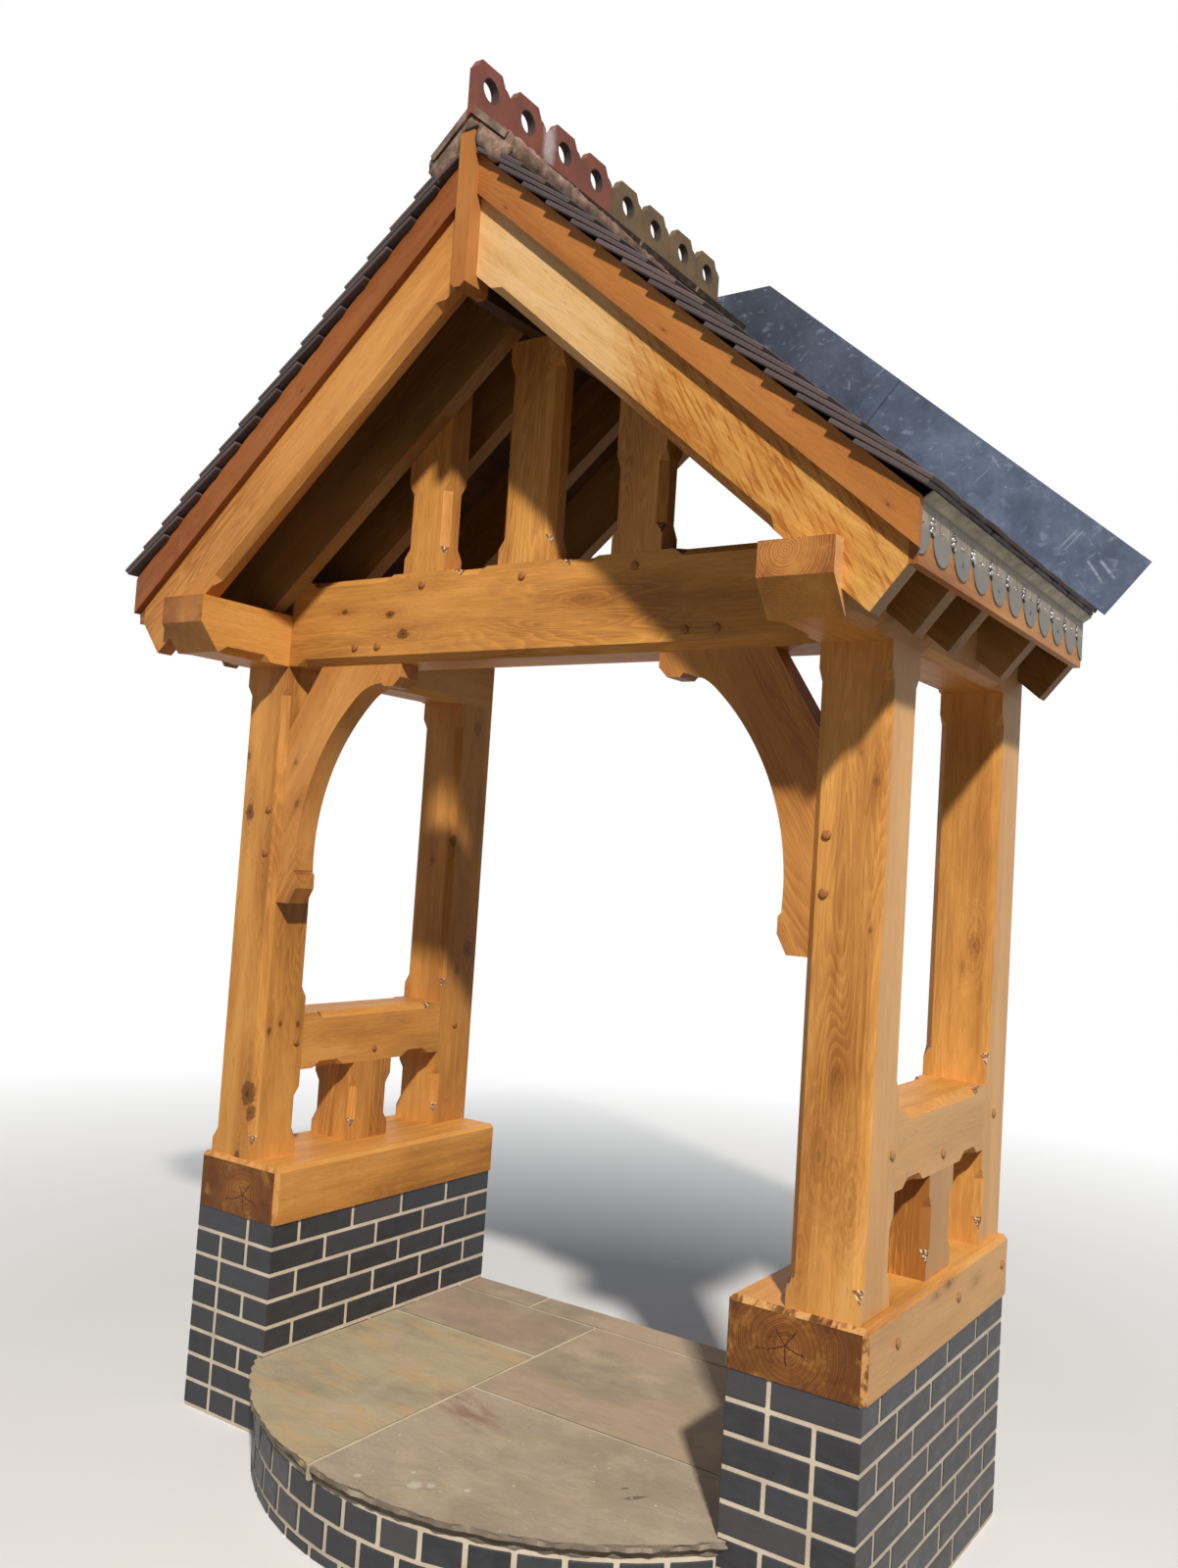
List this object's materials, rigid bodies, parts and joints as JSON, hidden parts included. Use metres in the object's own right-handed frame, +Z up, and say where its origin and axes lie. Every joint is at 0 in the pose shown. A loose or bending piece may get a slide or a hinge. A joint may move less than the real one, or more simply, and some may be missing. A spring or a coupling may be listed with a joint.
{
  "type": "porch canopy",
  "caption": "Gabled oak porch canopy with a tiled roof on brick plinths, open at the front and sides, with a curved stone step.",
  "frame": {"origin": "centre of the footprint at ground level", "axes": "+X to the right as seen from the front, +Y towards the house wall, +Z up"},
  "size_m": [2.7752, 1.3999, 3.7299],
  "materials": {
    "brick": "satin",
    "core": "matte",
    "sandstone": "matte",
    "pointing": "matte",
    "oak": "satin",
    "oak_boards": "satin",
    "roof_timber": "matte",
    "clay_tile": "matte",
    "red_terracotta": "matte",
    "olive_terracotta": "matte",
    "mortar": "matte",
    "lead": "satin",
    "peg": "satin"
  },
  "bodies": {
    "root": {"left_plinth": "brick", "right_plinth": "brick", "step_core": "core", "step_riser": "brick", "step_flags": "sandstone", "step_pointing": "pointing", "left_sill": "oak", "right_sill": "oak", "front_left_post": "oak", "front_right_post": "oak", "rear_left_post": "oak", "rear_right_post": "oak", "left_rail": "oak", "right_rail": "oak", "left_stub_post": "oak", "right_stub_post": "oak", "left_wall_plate": "oak", "right_wall_plate": "oak", "tie_beam": "oak", "roof_struts": "oak", "left_knee_brace": "oak", "right_knee_brace": "oak", "left_verge_rafter": "oak", "right_verge_rafter": "oak", "left_rafters": "roof_timber", "right_rafters": "roof_timber", "left_bargeboard": "oak_boards", "right_bargeboard": "oak_boards", "apex_block": "oak", "ridge_board": "roof_timber", "left_fascia": "oak_boards", "right_fascia": "oak_boards", "left_roof_boards": "roof_timber", "right_roof_boards": "roof_timber", "left_battens": "roof_timber", "right_battens": "roof_timber", "left_tiles": "clay_tile", "right_tiles": "clay_tile", "front_ridge_tiles": "red_terracotta", "rear_ridge_tiles": "olive_terracotta", "ridge_bedding": "mortar", "left_lead_apron": "lead", "right_lead_apron": "lead", "wall_flashing": "lead", "oak_pegs": "peg"}
  },
  "joints": []
}
